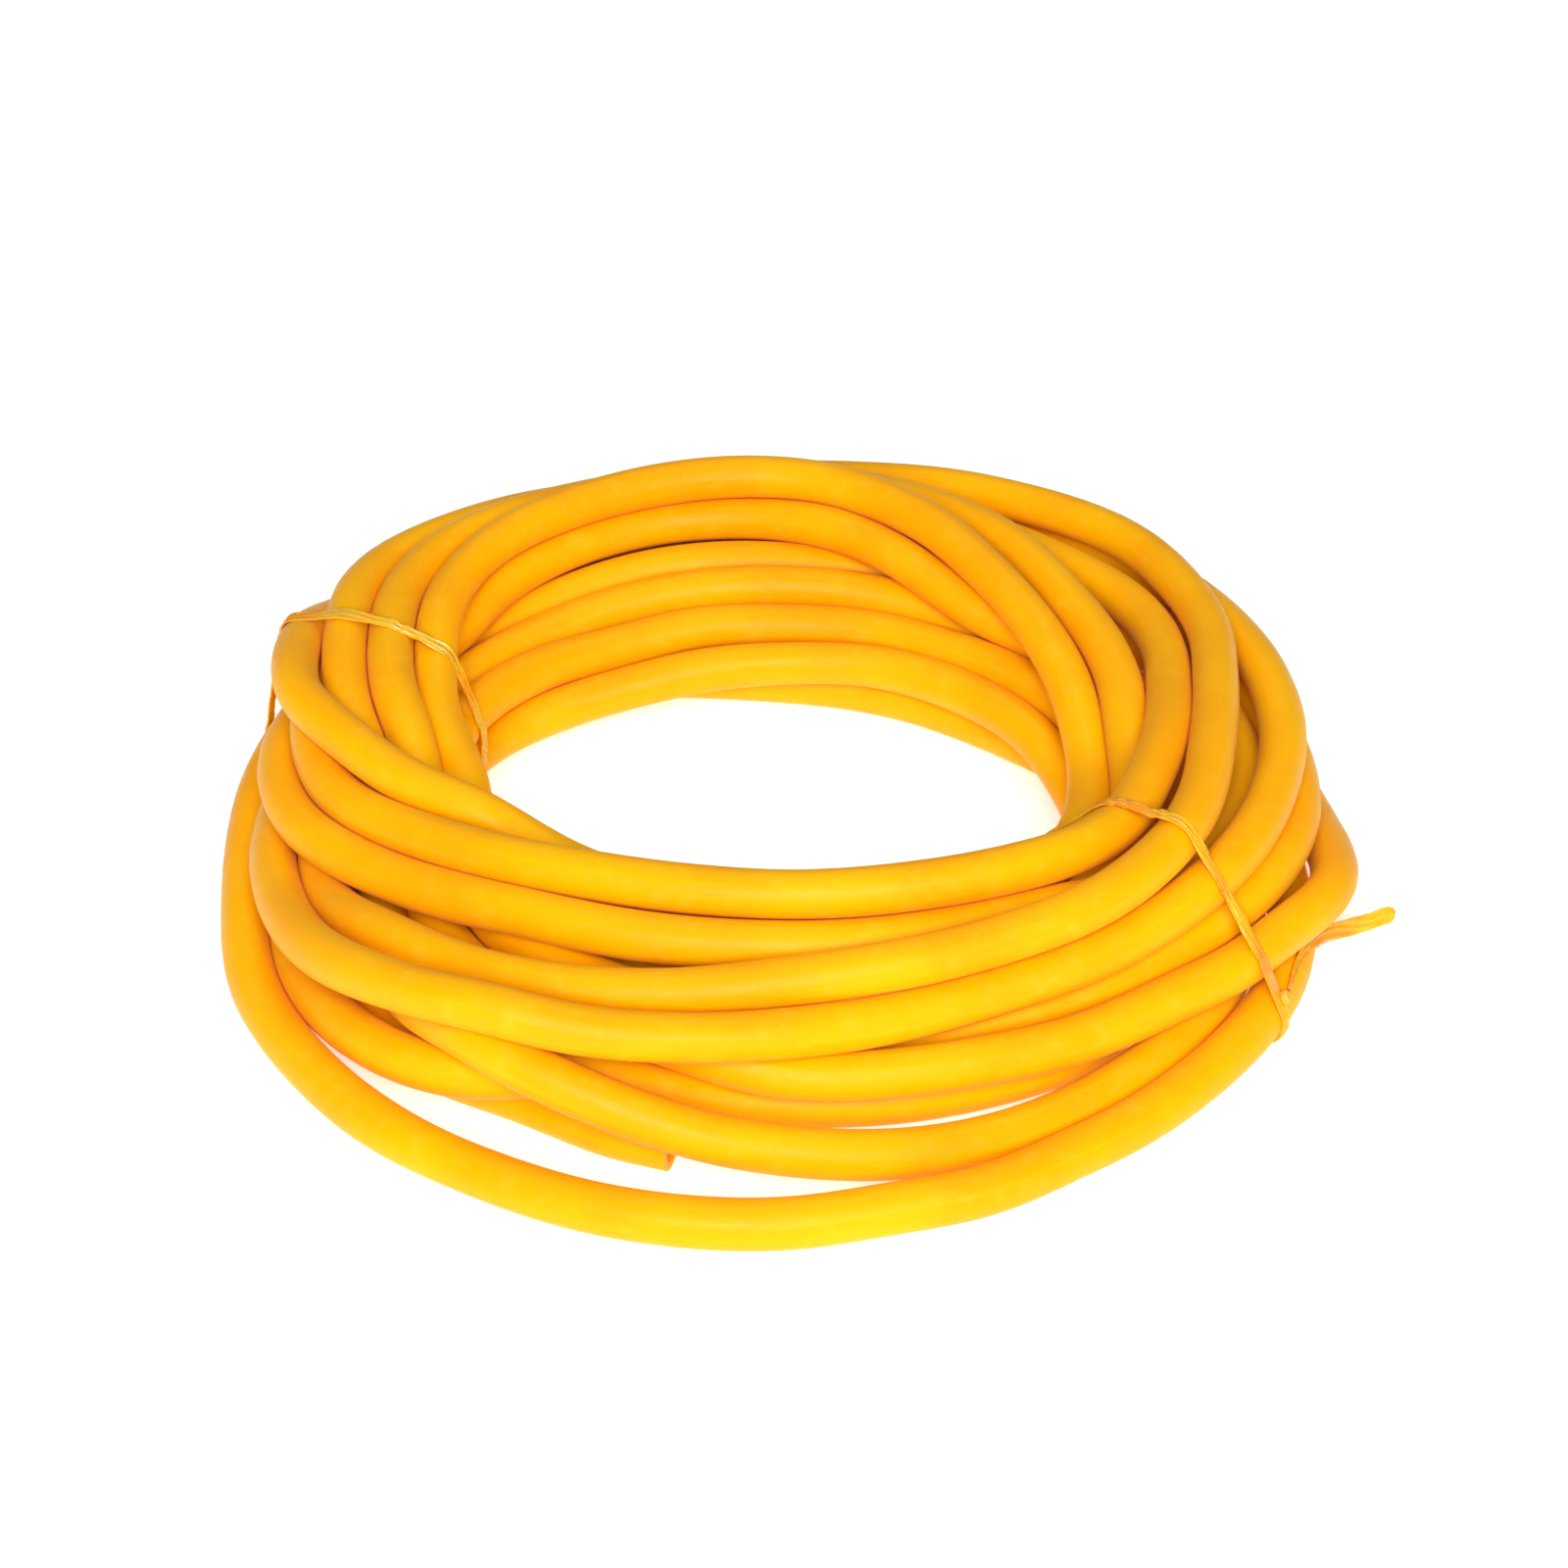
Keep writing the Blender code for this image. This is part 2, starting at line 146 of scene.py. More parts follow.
    (  # near the floor at the front, third from the floor in the hole's back wall
        (6.0, 6.3, 0.8), (7.0, 6.1, 0.7), (8.0, 6.3, 0.7), (8.5, 7.0, 1.0), (9.1, 7.7, 1.3),
        (9.7, 7.8, 1.4), (10.3, 7.35, 1.3), (10.8, 6.8, 1.2), (11.3, 6.5, 1.5), (12.0, 6.4, 1.6),
        (12.7, 6.5, 1.7), (13.4, 6.5, 1.8), (14.2, 6.9, 1.7), (14.8, 7.2, 1.3), (15.4, 7.4, 1.3),
        (16.1, 7.5, 1.5), (17.0, 6.8, 1.8),
    ),
    (  # up to the top of the hole's back wall, and in under the right side, where the other end lies
        (6.0, 6.4, 1.9), (7.0, 6.3, 1.7), (8.0, 6.5, 1.5), (8.6, 7.8, 1.8), (9.2, 8.8, 2.3),
        (9.7, 8.9, 2.2), (10.1, 8.8, 2.0), (10.5, 9.1, 2.1), (11.0, 9.3, 2.4), (11.5, 9.2, 2.6),
        (12.0, 8.7, 2.7), (12.6, 7.6, 2.8), (13.0, 7.0, 2.6), (13.4, 6.8, 2.4), (13.8, 7.2, 2.2),
        (14.3, 7.7, 2.0), (14.8, 7.9, 1.9),
    ),
)

STOP_POINTS = 12  # points of the laid curve from each stop to the next
LOWEST = 0.52  # height of the tube's middle where it lies on the floor
ROUTE_STEP = 0.25  # between the points of the settled route
LAID_SMOOTHING = 10
SETTLE_ROUNDS = 500
LATE = 0.8  # the share of the rounds after which the tube no longer draws back
STRAY_SMOOTHING, LATE_STRAY_SMOOTHING = 3, 1  # of how far it has been pushed from where it was laid
NEIGHBOUR_ROUNDS = 20  # rounds between looks for stretches that lie near each other
NEAR = 1.6  # stretches nearer than this are watched
NEAR_BLOCK = 400  # points that are compared with all the others at once
ALONG_TUBE = 8  # points this close along the tube don't push each other
FIRM = 0.45  # the share of an overlap that one round takes away
FREE_TOUCHES = 3  # a point that more points than this push gives way less to each
MEMORY = 0.004  # how far one round draws the tube back to the way it was laid

TUBE_SIDES = 20
TUBE_OVAL = 0.025  # how far the tube is from round, as a share of its radius
TUBE_TWIST = 2  # how far the oval's long way wanders round, in radians
TUBE_SWELL = 0.015  # how much its diameter wanders along its length, as a share
CUT_RIM = 0.47  # radius of the cut face, a little less than the tube's, as its edge is rounded
BORE_BOTTOM = 0.01  # radius of the ring that all but closes the bore where it ends
OVAL_SEED, TWIST_SEED, SWELL_SEED = 0.3, 0.7, 0.1
DRIFT_WAVES = ((0.071, 1.0), (0.029, 0.8), (0.013, 0.6))  # waves to the diameter, and their size
DRIFT_REACH = 1.8  # which the waves together seldom pass

# The ties, in tube diameters.
RIBBON_WIDTH = 0.33
TAIL_WIDTH = 0.36
TAIL_GATHERED = 0.3  # its width at the knot, as a share of its full width
TAIL_SPREAD = 2.0  # how far from the knot it reaches its full width
TAIL_LEAN = 0.6  # how far the loose end leans back from upright, as rise over run
RIBBON_THICKNESS = 0.03
RIBBON_PLEAT = 0.035  # how far its lengthwise pleats stand up
# Its two sets of pleats: height, pleats across it, how far they wander across it, how often, and a seed.
PLEATS = ((1.0, 2.3, 0.8, 6, 0.0), (0.7, 4.1, 1.3, 9, 0.4))
RIBBON_PLACES = 15  # points across it
RIBBON_STEP = 0.12
RIBBON_STAND_OFF = 0.04  # of its middle from the tube's surface
RIBBON_FLOOR_GAP = 0.09
RIBBON_SMOOTHING = 8  # of a loose end's way
SECTION_POINTS = 40  # round each tube where a tie is pulled tight round it
BUNCHED_SHARE = 0.35  # how much narrower or wider it is where it is bunched or spread
BUNCHED_REACH = 0.06  # how far along the loop that reaches, as a share of the way round
USUAL_WIDTH = 0.92  # of a loop elsewhere, as a share of RIBBON_WIDTH
WIDTH_RIPPLES, WIDTH_RIPPLE = 5, 0.1  # how many times round the loop it widens and narrows, and how much
KNOT_SIZE = (0.17, 0.16, 0.1)  # half its size along, across and out of the ribbon
KNOT_SHIFT = 0.2  # how far its middle sits behind the ribbon's
KNOT_LIFT = 0.05  # how far its middle stands out from the ribbon
KNOT_RINGS, KNOT_SIDES = 15, 28
KNOT_PLEATS = ((0.09, 7, 3), (0.05, 13, 0))  # height, pleats round it, and how far they twist along it
KNOT_LENGTH = 0.02  # of film that its creases are drawn on, in metres
TAIL_ROOT = 0.1  # how far behind the knot's middle the loose end begins
TAIL_TIP = 0.02  # its width at the tip, as a share of its full width
TAIL_SEED = 0.6

# Each tie: its hour, its lean along the turns as run over rise, its knot's height on the bundle's outer side,
# where on its loop it is widest and where narrowest, as shares of the way round from the knot, a seed for its
# pleats, and the stops of its loose end.
LEFT_TIE = (9.55, 0.0, 0.4, (0.3, 0.8), 0.2, ((9.7, 11.8, 0.25), (9.95, 11.95, 0.2), (10.2, 12.2, 0.25)))
RIGHT_TIE = (
    4.08, 0.15, 1.0, (0.75, 0.45), 0.5,
    (
        (4.0, 11.9, 1.0), (3.9, 11.78, 1.0), (3.8, 11.82, 0.95), (3.7, 11.9, 0.75),
        (3.6, 12.6, 0.7), (3.5, 13.35, 0.75),
    ),
)
TIE_TOP = 3.5  # a leaning tie crosses its hour at this height

# The colours, as linear red, green and blue.
AMBER_DEEP = (0.92, 0.385, 0.0, 1.0)
AMBER_PALE = (0.96, 0.45, 0.0, 1.0)
AMBER_STREAK = (0.98, 0.5, 0.004, 1.0)
AMBER_POWDER = (0.96, 0.55, 0.04, 1.0)
FILM_DEEP = (1.0, 0.31, 0.01, 1.0)
FILM_PALE = (1.0, 0.46, 0.01, 1.0)
FILM_CREASE = (1.0, 0.62, 0.03, 1.0)
PAPER_DEEP = (0.90, 0.90, 0.90, 1.0)
PAPER_PALE = (0.93, 0.93, 0.93, 1.0)

# The studio, in metres. Each softbox: its name, its place from the coil's centre, its size, watts and colour.
FLOOR_HALF = 3.0
WORLD_STRENGTH = 0.23
TABLE_GLOW = 0.45  # the white table is lit a little from below
SOFTBOXES = (
    ("key", (0.02, -1.25, 0.95), 1.0, 29.0, (1.0, 0.99, 0.97)),
    ("top", (0.0, 0.5, 1.4), 1.0, 3.5, (1.0, 1.0, 1.0)),
)
CAMERA_LENS = 74.25  # millimetres
CAMERA_ELEVATION = 36.0  # degrees
CAMERA_DISTANCE = 70 * TUBE
CAMERA_TARGET_HEIGHT = 1.5 * TUBE


def polar_to_cartesian(hour, radius, height):
    """The point at this hour of the clock face, in tube diameters from the coil's centre on the floor."""
    angle = np.radians(90 - 30 * hour)
    return np.stack([radius * np.cos(angle), radius * np.sin(angle), height], axis=-1)


def laid_route():
    """The tube's way through every stop as a smooth cubic curve, with points ROUTE_STEP apart."""
    stops = []
    for turn, row in enumerate(TURNS):
        stops += [(hour + 12 * turn, radius, height) for hour, radius, height in row]
    stops = np.array(stops)
    padded = np.vstack([2 * stops[0] - stops[1], stops, 2 * stops[-1] - stops[-2]])
    share = np.linspace(0, 1, STOP_POINTS, endpoint=False)[:, None]
    curve = []
    for before, start, end, after in zip(padded, padded[1:], padded[2:], padded[3:]):
        leave = (end - before) / max(end[0] - before[0], 1e-6) * (end[0] - start[0])
        arrive = (after - start) / max(after[0] - start[0], 1e-6) * (end[0] - start[0])
        curve.append(
            (2 * share**3 - 3 * share**2 + 1) * start
            + (share**3 - 2 * share**2 + share) * leave
            + (3 * share**2 - 2 * share**3) * end
            + (share**3 - share**2) * arrive
        )
    curve = np.vstack([*curve, stops[-1:]])
    return evenly_spaced(polar_to_cartesian(*curve.T), ROUTE_STEP)


def evenly_spaced(points, step):
    """The line again, with points step apart."""
    along = np.concatenate([[0], np.cumsum(np.linalg.norm(np.diff(points, axis=0), axis=1))])
    places = np.linspace(0, along[-1], int(round(along[-1] / step)) + 1)
    return np.stack([np.interp(places, along, points[:, axis]) for axis in range(3)], axis=1)


def near_pairs(points):
    """Index pairs of points that lie near each other and aren't neighbours along the tube."""
    found = []
    for start in range(0, len(points), NEAR_BLOCK):
        block = points[start : start + NEAR_BLOCK]
        squared = ((block[:, None] - points[None]) ** 2).sum(-1)
        first, second = np.nonzero(squared < NEAR**2)
        keep = second > first + start + ALONG_TUBE
        found.append(np.stack([first[keep] + start, second[keep]]))
    return np.concatenate(found, axis=1)


def smoothed(values, times):
    """The values with each mixed with its neighbours, this many times."""
    for _ in range(times):
        padded = np.vstack([values[:1], values, values[-1:]])
        values = (padded[:-2] + 2 * padded[1:-1] + padded[2:]) / 4
    return values


def settle(laid):
    """The route with its overlaps pushed apart, kept above the floor and smooth."""
    points = smoothed(laid, LAID_SMOOTHING)
    laid = points.copy()
    for round_number in range(SETTLE_ROUNDS):
        if round_number % NEIGHBOUR_ROUNDS == 0:
            first, second = near_pairs(points)
        between = points[second] - points[first]
        distance = np.maximum(np.linalg.norm(between, axis=1), 1e-6)
        short = np.maximum(1.0 - distance, 0)
        push = between * (short / distance * FIRM / 2)[:, None]
        touching = np.bincount(first[short > 0], minlength=len(points))
        touching += np.bincount(second[short > 0], minlength=len(points))
        moved = np.zeros_like(points)
        np.add.at(moved, first, -push)
        np.add.at(moved, second, push)
        points += moved / np.maximum(touching / FREE_TOUCHES, 1)[:, None]
        points[:, 2] = np.maximum(points[:, 2], LOWEST)
        late = round_number > LATE * SETTLE_ROUNDS
        strayed = smoothed(points - laid, LATE_STRAY_SMOOTHING if late else STRAY_SMOOTHING)
        points = laid + strayed * (1 - (0 if late else MEMORY))
    points[:, 2] = np.maximum(points[:, 2], LOWEST)
    return points


def tube_frames(points):
    """Two unit vectors across the tube at each point, which turn no more than they must along it."""
    along = np.gradient(points, axis=0)
    along /= np.linalg.norm(along, axis=1)[:, None]
    across = np.empty_like(points)
    current = np.array([0.0, 0.0, 1.0])
    for index, direction in enumerate(along):
        current = current - direction * current.dot(direction)
        current /= np.linalg.norm(current)
        across[index] = current
    return across, np.cross(along, across)


def lattice(rings, along, around, closed_along=False):
    """(points, faces, UVs) of the skin that joins rings of points. UVs are metres along it and around it."""
    count, sides = rings.shape[:2]
    spans = count if closed_along else count - 1
    ring = np.arange(spans)[:, None] * np.ones(sides, int)
    side = np.arange(sides)[None] * np.ones(spans, int)[:, None]
    following = (ring + 1) % count
    beside = (side + 1) % sides
    corner_rings = np.stack([ring, ring, following, following], axis=-1)
    corner_sides = np.stack([side, beside, beside, side], axis=-1)
    faces = (corner_rings * sides + corner_sides).reshape(-1, 4)
    corners = np.stack(
        [along[ring], around[side], along[ring], around[side + 1],
         along[ring + 1], around[side + 1], along[ring + 1], around[side]], axis=-1
    )
    return rings.reshape(-1, 3), faces, corners.reshape(-1, 2)


def skin_object(name, skins, material):
    """One mesh object of one or more lattices, placed round the coil's centre."""
    points, faces, corners, start = [], [], [], 0
    for skin_points, skin_faces, skin_corners in skins:
        points.append(to_world(skin_points))
        faces.append(skin_faces + start)
        corners.append(skin_corners)
        start += len(skin_points)
    mesh = bpy.data.meshes.new(name)
    mesh.from_pydata(np.concatenate(points).tolist(), [], np.concatenate(faces).tolist())
    mesh.shade_smooth()
    lengths = mesh.uv_layers.new(name="lengths")
    lengths.data.foreach_set("uv", np.concatenate(corners).astype(np.float32).reshape(-1))
    mesh.materials.append(material)
    made = bpy.data.objects.new(name, mesh)
    bpy.context.scene.collection.objects.link(made)
    return made


def to_world(points):
    """Points in tube diameters from the coil's centre, in metres in the row frame."""
    return np.asarray(points) * TUBE + np.array(COIL_CENTRE)


def lengths_along(points):
    """How far along the line each of its points is."""
    return np.concatenate([[0], np.cumsum(np.linalg.norm(np.diff(points, axis=0), axis=1))])


def drift(along, seed):
    """A smooth wandering value between about -1 and 1 for each place along a line."""
    total = 0
    for rate, size in DRIFT_WAVES:
        total = total + size * np.sin(2 * np.pi * (along * rate + seed * (1 + rate)))
    return total / DRIFT_REACH


def tube_skin(route):
    """The tube's outside, its two cut faces and as much of its bore as can be seen."""
    across, up = tube_frames(route)
    along = lengths_along(route)
    angles = np.linspace(0, 2 * np.pi, TUBE_SIDES, endpoint=False)
    around = np.stack([np.cos(angles), np.sin(angles)])
    turned = angles[None] - TUBE_TWIST * drift(along, TWIST_SEED)[:, None]
    oval = TUBE_OVAL * drift(along, OVAL_SEED)[:, None] * np.cos(2 * turned)
    radius = 0.5 * (1 + oval + TUBE_SWELL * drift(along, SWELL_SEED)[:, None])
    spokes = across[:, None] * around[0, :, None] + up[:, None] * around[1, :, None]
    rings = route[:, None] + radius[..., None] * spokes
    bore = BORE / TUBE / 2
    depth = int(BORE_DEPTH / TUBE / ROUTE_STEP)
    last = len(route) - 1
    first_cut = ((depth, BORE_BOTTOM), (depth, bore), (0, bore), (0, CUT_RIM))
    last_cut = ((last, CUT_RIM), (last, bore), (last - depth, bore), (last - depth, BORE_BOTTOM))
    start = [cut_ring(route, spokes, index, cut_radius) for index, cut_radius in first_cut]
    end = [cut_ring(route, spokes, index, cut_radius) for index, cut_radius in last_cut]
    rings = np.concatenate([start, rings, end])
    metres_along = np.arange(len(rings) + 1) * ROUTE_STEP * TUBE
    return lattice(rings, metres_along, np.linspace(0, np.pi * TUBE, TUBE_SIDES + 1))


def cut_ring(route, spokes, index, radius):
    """A ring of this radius round the route's point of this index."""
    return route[index] + radius * spokes[index]


def tie_axes(hour, lean):
    """A tie's directions: out from the coil's axis, up in the tie's plane, and square to that plane."""
    angle = np.radians(90 - 30 * hour)
    radial = np.array([np.cos(angle), np.sin(angle), 0.0])
    onward = np.array([np.sin(angle), -np.cos(angle), 0.0])
    upward = np.array([0.0, 0.0, 1.0]) - lean * onward
    upward /= np.linalg.norm(upward)
    return radial, upward, np.cross(upward, radial)


def sections_at(route, radial, upward, square):
    """Where the tube passes a tie's plane: its distance from the axis, and its place up from TIE_TOP."""
    places = (route - [0, 0, TIE_TOP]) @ np.stack([radial, upward, square], axis=1)
    crossing = np.nonzero((places[:-1, 2] * places[1:, 2] <= 0) & (places[:-1, 0] > 0))[0]
    before = places[crossing]
    after = places[crossing + 1]
    share = before[:, 2:] / (before[:, 2:] - after[:, 2:])
    return (before + share * (after - before))[:, :2]


def tight_loop(sections):
    """The closed line pulled tight round the tube's sections, as seen in their half-plane."""
    angles = np.linspace(0, 2 * np.pi, SECTION_POINTS, endpoint=False)
    circle = (0.5 + RIBBON_STAND_OFF) * np.stack([np.cos(angles), np.sin(angles)], axis=1)
    dots = sorted(map(tuple, (sections[:, None] + circle[None]).reshape(-1, 2)))
    lower = half_hull(dots)
    upper = half_hull(dots[::-1])
    hull = np.array(lower[:-1] + upper[:-1] + lower[:1])
    loop = evenly_spaced(np.pad(hull, ((0, 0), (0, 1))), RIBBON_STEP)[:-1, :2]
    loop[:, 1] = np.maximum(loop[:, 1], RIBBON_FLOOR_GAP - TIE_TOP)
    return loop


def half_hull(dots):
    """One side of the convex outline of dots that are sorted from left to right, or from right to left."""
    chain = []
    for dot in dots:
        while len(chain) > 1 and turns_right(chain[-2], chain[-1], dot):
            chain.pop()
        chain.append(dot)
    return chain


def turns_right(first, second, third):
    """Whether the way through three dots turns right or goes straight on."""
    rise, run = second[1] - first[1], second[0] - first[0]
    return run * (third[1] - first[1]) <= rise * (third[0] - first[0])


def ribbon_skin(line, outward, sideways, width, seed, closed):
    """A thin band along the line, with lengthwise pleats. width is its width at each point."""
    along = lengths_along(line)
    places = np.linspace(-0.5, 0.5, RIBBON_PLACES)
    pleats = 0
    for height, across, wander, often, own_seed in PLEATS:
        shift = wander * drift(often * along, seed + own_seed)[:, None]
        pleats = pleats + height * np.sin(2 * np.pi * (across * places[None] + shift))
    # They are deep in some places along the ribbon and nearly gone in others.
    pleats *= RIBBON_PLEAT * (0.6 + 0.5 * drift(4 * along, seed + 0.2)[:, None])
    sheet = (
        line[:, None]
        + sideways[:, None] * (places[None, :, None] * width[:, None, None])
        + outward[:, None] * pleats[..., None]
    )
    face = outward[:, None] * RIBBON_THICKNESS / 2
    rings = np.concatenate([sheet + face, (sheet - face)[:, ::-1]], axis=1)
    metres = np.append(along, along[-1] + RIBBON_STEP) * TUBE
    metres_around = np.linspace(0, 2 * RIBBON_WIDTH * TUBE, 2 * RIBBON_PLACES + 1)
    return lattice(rings, metres, metres_around, closed)


def knot_skin(centre, along, outward, sideways):
    """A small pleated lump of pulled-tight ribbon."""
    turns = np.linspace(0, np.pi, KNOT_RINGS)
    angles = np.linspace(0, 2 * np.pi, KNOT_SIDES, endpoint=False)
    swell = 1
    for height, count, twist in KNOT_PLEATS:
        swell = swell + height * np.sin(count * angles[None] + twist * turns[:, None])
    body = np.sin(turns)[:, None] * swell
    rings = (
        centre
        + along * (KNOT_SIZE[0] * -np.cos(turns))[:, None, None]
        + sideways * (KNOT_SIZE[1] * body * np.cos(angles))[..., None]
        + outward * (KNOT_SIZE[2] * body * np.sin(angles))[..., None]
    )
    metres_along = np.linspace(0, KNOT_LENGTH, KNOT_RINGS + 1)
    return lattice(rings, metres_along, np.linspace(0, KNOT_LENGTH, KNOT_SIDES + 1))


def tie_lines(route, hour, lean):
    """A tie's closed line, with the directions out of the loop and along the tubes."""
    radial, upward, square = tie_axes(hour, lean)
    loop = tight_loop(sections_at(route, radial, upward, square))
    ahead = np.roll(loop, -1, axis=0) - np.roll(loop, 1, axis=0)
    ahead /= np.linalg.norm(ahead, axis=1)[:, None]
    line = np.array([0, 0, TIE_TOP]) + loop[:, :1] * radial + loop[:, 1:] * upward
    outward = ahead[:, 1:] * radial - ahead[:, :1] * upward
    return line, outward, np.tile(square, (len(line), 1))


def loop_from_knot(route, hour, lean, knot_height):
    """The tie's lines, begun where its knot sits on the bundle's outer side."""
    line, outward, sideways = tie_lines(route, hour, lean)
    reach = np.linalg.norm(line[:, :2], axis=1)
    outside = reach > reach.mean()
    start = np.argmin(np.where(outside, np.abs(line[:, 2] - knot_height), np.inf))
    return [np.roll(values, -start, axis=0) for values in (line, outward, sideways)]


def ribbon_widths(count, wide_at, narrow_at):
    """The band's width at each point of a loop: it is spread near one place and bunched near another."""
    place = np.arange(count) / count
    widths = USUAL_WIDTH + WIDTH_RIPPLE * np.sin(2 * np.pi * WIDTH_RIPPLES * place)
    for centre, change in ((wide_at, BUNCHED_SHARE), (narrow_at, -BUNCHED_SHARE)):
        gap = np.abs((place - centre + 0.5) % 1 - 0.5)
        widths += change * np.exp(-((gap / BUNCHED_REACH) ** 2))
    return RIBBON_WIDTH * widths


def free_end(stops, width):
    """A loose ribbon end along the stops, gathered at the knot and blunt at its tip, with its line."""
    line = smoothed(evenly_spaced(np.array(stops, float), RIBBON_STEP), RIBBON_SMOOTHING)
    count = len(line)
    ahead = np.gradient(line, axis=0)
    ahead /= np.linalg.norm(ahead, axis=1)[:, None]
    upward = np.tile([0.0, 0.0, 1.0], (count, 1))
    sideways = TAIL_LEAN * np.cross(upward, ahead) + upward
    sideways -= ahead * (sideways * ahead).sum(axis=1)[:, None]
    sideways /= np.linalg.norm(sideways, axis=1)[:, None]
    outward = np.cross(sideways, ahead)
    from_tip = np.clip(lengths_along(line)[::-1] / (0.5 * width), 0, 1)
    blunt = np.sqrt(from_tip * (2 - from_tip))
    spread = np.clip(lengths_along(line) / TAIL_SPREAD, 0, 1)
    widths = width * np.maximum(blunt, TAIL_TIP) * (TAIL_GATHERED + (1 - TAIL_GATHERED) * spread**2)
    return ribbon_skin(line, outward, sideways, widths, TAIL_SEED, closed=False), line


def make_tie(name, route, hour, lean, knot_height, widths_at, seed, tail_stops, material):
    """A tie: the loop round the turns, its knot and its loose end. Returns it and the line it follows."""
    line, outward, sideways = loop_from_knot(route, hour, lean, knot_height)
    widths = ribbon_widths(len(line), *widths_at)
    loop = ribbon_skin(line, outward, sideways, widths, seed, closed=True)
    ahead = np.cross(outward[0], sideways[0])
    backward = sideways[0] * np.sign(line[0, 0])
    knot_centre = line[0] + KNOT_SHIFT * backward + KNOT_LIFT * outward[0]
    knot = knot_skin(knot_centre, ahead, outward[0], sideways[0])
    tail_start = knot_centre + TAIL_ROOT * backward
    tail_stops = polar_to_cartesian(*np.array(tail_stops).T)
    tail, tail_line = free_end([tail_start, *tail_stops], TAIL_WIDTH)
    tie = skin_object(name, (loop, knot, tail), material)
    return tie, np.concatenate([tail_line[::-1], line, line[:1]])


def new_material(name):
    """An empty node material, its tree and its principled shader."""
    material = bpy.data.materials.new(name)
    material.use_nodes = True
    tree = material.node_tree
    return material, tree, tree.nodes["Principled BSDF"]


def add_node(tree, kind, **settings):
    """A node with its settings: its own ones, or input values by the input's name with _ for a space."""
    node = tree.nodes.new("ShaderNode" + kind)
    for name, value in settings.items():
        socket = node.inputs.get(name.replace("_", " ").title())
        if socket is not None:
            socket.default_value = value
        else:
            setattr(node, name, value)
    return node


def stretched_lengths(tree, along, around):
    """The tube's or ribbon's own lengths, in metres, times these."""
    lengths = add_node(tree, "UVMap", uv_map="lengths")
    mapping = add_node(tree, "Mapping", scale=(along, around, 1.0))
    tree.links.new(lengths.outputs["UV"], mapping.inputs["Vector"])
    return mapping.outputs["Vector"]


def noise(tree, where, scale, detail=3.0):
    """A noise value round 0.5 at that many grains to the unit of where."""
    node = add_node(tree, "TexNoise", scale=scale, detail=detail)
    tree.links.new(where, node.inputs["Vector"])
    return node.outputs["Fac"]


def graded(tree, value, low, high, low_to, high_to):
    """The value's stretch from low to high, eased over low_to to high_to."""
    node = add_node(tree, "MapRange")
    node.interpolation_type = "SMOOTHSTEP"
    for socket, number in zip(("From Min", "From Max", "To Min", "To Max"), (low, high, low_to, high_to)):
        node.inputs[socket].default_value = number
    tree.links.new(value, node.inputs["Value"])
    return node.outputs["Result"]


def mixed(tree, share, first, second):
    """The two colours mixed. Each is a colour or another node's output."""
    node = add_node(tree, "Mix", data_type="RGBA")
    tree.links.new(share, node.inputs["Factor"])
    # The colour sockets share their names with the number sockets, so they are taken by their place.
    for socket, colour in ((node.inputs[6], first), (node.inputs[7], second)):
        if isinstance(colour, tuple):
            socket.default_value = colour
        else:
            tree.links.new(colour, socket)
    return node.outputs[2]


def bumped(tree, height, distance, strength, normal=None):
    """The surface's normal with this height added, distance being its full height in metres."""
    node = add_node(tree, "Bump", strength=strength, distance=distance)
    tree.links.new(height, node.inputs["Height"])
    if normal is not None:
        tree.links.new(normal, node.inputs["Normal"])
    return node.outputs["Normal"]


def latex_material():
    """Amber latex: cloudy, faintly streaked lengthwise where it was dipped, with a dusting of powder."""
    material, tree, shader = new_material("latex")
    where = add_node(tree, "TexCoord").outputs["Object"]
    clouds = noise(tree, where, 28.0)
    streaks = noise(tree, stretched_lengths(tree, 14.0, 520.0), 1.0, 4.0)
    powder = noise(tree, where, 210.0, 5.0)
    grain = noise(tree, where, 2600.0, 2.0)
    colour = mixed(tree, graded(tree, clouds, 0.35, 0.65, 0.0, 1.0), AMBER_DEEP, AMBER_PALE)
    colour = mixed(tree, graded(tree, streaks, 0.5, 0.75, 0.0, 0.35), colour, AMBER_STREAK)
    colour = mixed(tree, graded(tree, powder, 0.52, 0.75, 0.0, 0.22), colour, AMBER_POWDER)
    tree.links.new(colour, shader.inputs["Base Color"])
    tree.links.new(graded(tree, powder, 0.35, 0.7, 0.36, 0.52), shader.inputs["Roughness"])
    normal = bumped(tree, streaks, 0.00012, 0.5)
    normal = bumped(tree, clouds, 0.0012, 0.35, normal)
    normal = bumped(tree, grain, 0.00003, 0.4, normal)
    tree.links.new(normal, shader.inputs["Normal"])
    shader.inputs["Subsurface Weight"].default_value = 0.35
    shader.inputs["Subsurface Radius"].default_value = (1.0, 0.45, 0.05)
    shader.inputs["Subsurface Scale"].default_value = 0.004
    shader.inputs["IOR"].default_value = 1.38
    shader.inputs["Specular IOR Level"].default_value = 0.16
    shader.inputs["Sheen Weight"].default_value = 0.03
    shader.inputs["Sheen Roughness"].default_value = 0.4
    return material


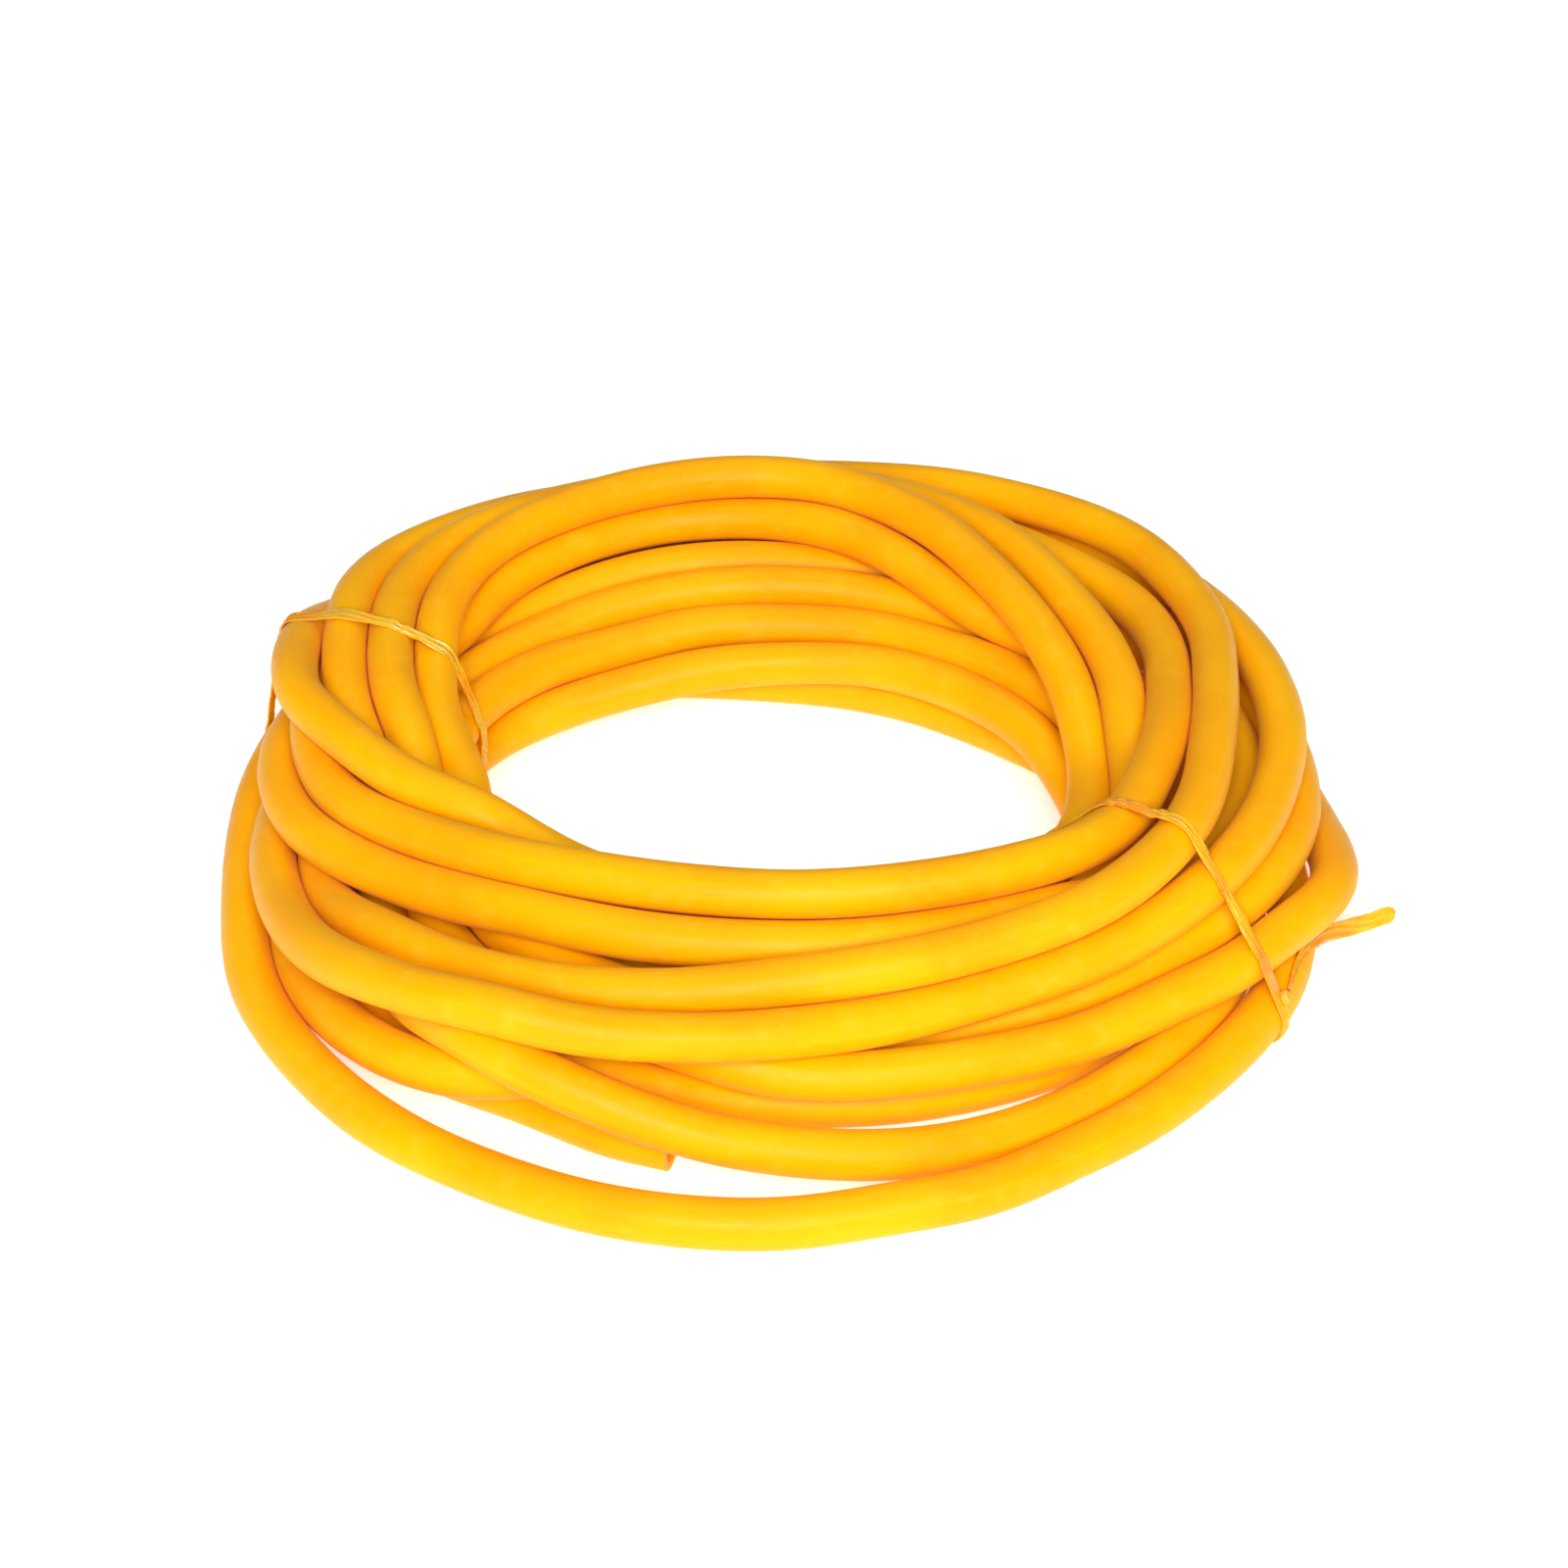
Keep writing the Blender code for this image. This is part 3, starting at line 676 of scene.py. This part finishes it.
def ribbon_material():
    """Thin glossy ribbon of orange-yellow film, creased lengthwise."""
    material, tree, shader = new_material("ribbon")
    where = add_node(tree, "TexCoord").outputs["Object"]
    patches = noise(tree, where, 55.0, 2.0)
    creases = noise(tree, stretched_lengths(tree, 60.0, 1900.0), 1.0, 3.0)
    crinkles = noise(tree, where, 700.0, 3.0)
    colour = mixed(tree, graded(tree, patches, 0.4, 0.6, 0.0, 1.0), FILM_DEEP, FILM_PALE)
    colour = mixed(tree, graded(tree, creases, 0.55, 0.72, 0.0, 0.7), colour, FILM_CREASE)
    tree.links.new(colour, shader.inputs["Base Color"])
    tree.links.new(graded(tree, crinkles, 0.3, 0.7, 0.16, 0.36), shader.inputs["Roughness"])
    normal = bumped(tree, creases, 0.0003, 0.8)
    normal = bumped(tree, crinkles, 0.0002, 0.5, normal)
    tree.links.new(normal, shader.inputs["Normal"])
    shader.inputs["Subsurface Weight"].default_value = 0.5
    shader.inputs["Subsurface Radius"].default_value = (1.0, 0.5, 0.05)
    shader.inputs["Subsurface Scale"].default_value = 0.002
    shader.inputs["Specular IOR Level"].default_value = 0.6
    return material


def floor_material():
    """Matt white studio paper."""
    material, tree, shader = new_material("floor")
    where = add_node(tree, "TexCoord").outputs["Object"]
    tone = noise(tree, where, 3.0)
    tree.links.new(mixed(tree, tone, PAPER_DEEP, PAPER_PALE), shader.inputs["Base Color"])
    shader.inputs["Roughness"].default_value = 0.9
    shader.inputs["Specular IOR Level"].default_value = 0.2
    shader.inputs["Emission Color"].default_value = (1.0, 1.0, 1.0, 1.0)
    shader.inputs["Emission Strength"].default_value = TABLE_GLOW
    return material


def make_floor():
    """The sheet of paper that the coil lies on."""
    mesh = bpy.data.meshes.new("floor")
    corners = [(x * FLOOR_HALF, y * FLOOR_HALF, 0.0) for x, y in ((-1, -1), (1, -1), (1, 1), (-1, 1))]
    mesh.from_pydata(corners, [], [(0, 1, 2, 3)])
    mesh.materials.append(floor_material())
    floor = bpy.data.objects.new("floor", mesh)
    bpy.context.scene.collection.objects.link(floor)
    return floor


def softbox(name, place, size, watts, colour):
    """A soft light at this place from the coil's centre, in metres, turned towards the coil."""
    light = bpy.data.lights.new(name, "AREA")
    light.shape = "DISK"
    light.size = size
    light.energy = watts
    light.color = colour
    lamp = bpy.data.objects.new(name, light)
    lamp.location = COIL_CENTRE + Vector(place)
    lamp.rotation_euler = Vector(place).to_track_quat("Z", "Y").to_euler()
    bpy.context.scene.collection.objects.link(lamp)
    return lamp


def light_studio():
    """A white world and the softboxes."""
    world = bpy.data.worlds.new("studio")
    world.use_nodes = True
    world.node_tree.nodes["Background"].inputs["Color"].default_value = (1.0, 1.0, 1.0, 1.0)
    world.node_tree.nodes["Background"].inputs["Strength"].default_value = WORLD_STRENGTH
    bpy.context.scene.world = world
    for light in SOFTBOXES:
        softbox(*light)


def make_camera():
    """The camera, in front of the coil and looking down at it."""
    camera = bpy.data.cameras.new("camera")
    camera.lens = CAMERA_LENS
    holder = bpy.data.objects.new("camera", camera)
    elevation = np.radians(CAMERA_ELEVATION)
    target = COIL_CENTRE + Vector((0.0, 0.0, CAMERA_TARGET_HEIGHT))
    away = Vector((0.0, -np.cos(elevation), np.sin(elevation)))
    holder.location = target + CAMERA_DISTANCE * away
    holder.rotation_euler = (np.radians(90 - CAMERA_ELEVATION), 0.0, 0.0)
    bpy.context.scene.collection.objects.link(holder)
    bpy.context.scene.camera = holder


ring_low, ring_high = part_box("tube_coil")
COIL_CENTRE = Vector(((ring_low.x + ring_high.x) / 2, ring_high.y - COIL_BACK_RADIUS, 0.0))

make_camera()
light_studio()
make_floor()
bpy.context.scene.view_settings.view_transform = "Standard"

route = settle(laid_route())
tube = skin_object("tube", [tube_skin(route)], latex_material())
film = ribbon_material()
left_tie, left_line = make_tie("left_ribbon", route, *LEFT_TIE, film)
right_tie, right_line = make_tie("right_ribbon", route, *RIGHT_TIE, film)

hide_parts("tube_coil", "tube_front_turn", "tube_right_turn", "tube_crossing_turn", "tube_cut_end")
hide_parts("left_tie")
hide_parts("right_tie")
for piece, finish in ((tube, "latex"), (left_tie, "ribbon"), (right_tie, "ribbon")):
    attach(piece, "root")

for tie, line in ((left_tie, left_line), (right_tie, right_line)):
    line = to_world(line)
